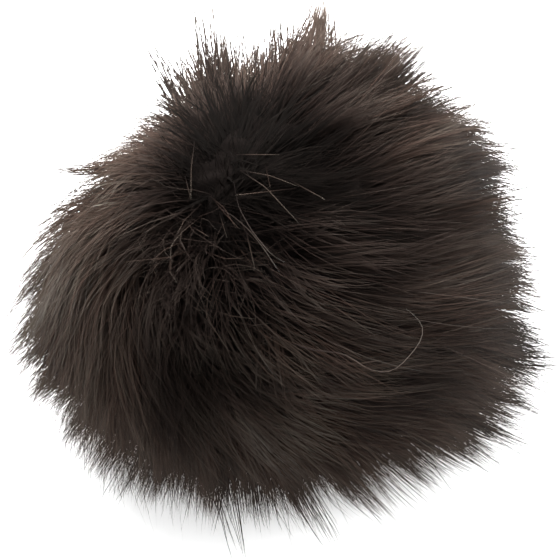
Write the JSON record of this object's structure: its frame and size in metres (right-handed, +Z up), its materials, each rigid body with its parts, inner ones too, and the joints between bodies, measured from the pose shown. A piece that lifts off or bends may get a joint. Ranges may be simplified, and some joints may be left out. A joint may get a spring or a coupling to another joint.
{
  "type": "fur pom pom",
  "caption": "Long-haired fur pom pom: a dense ball of dyed hair with a parting over its top, combed to both sides, lying on a pressed flat underside.",
  "frame": {"origin": "middle of the base, on the surface that the pom pom rests on", "axes": "+Z up, +X to the right side of the ball, -Y to the front, from which the parting is seen running up and away"},
  "size_m": [0.1424, 0.1376, 0.1093],
  "materials": {
    "fur": "long dyed animal hair, dark brown, with a soft low sheen along the hairs"
  },
  "bodies": {
    "root": {"fur_ball": "fur"}
  },
  "joints": []
}
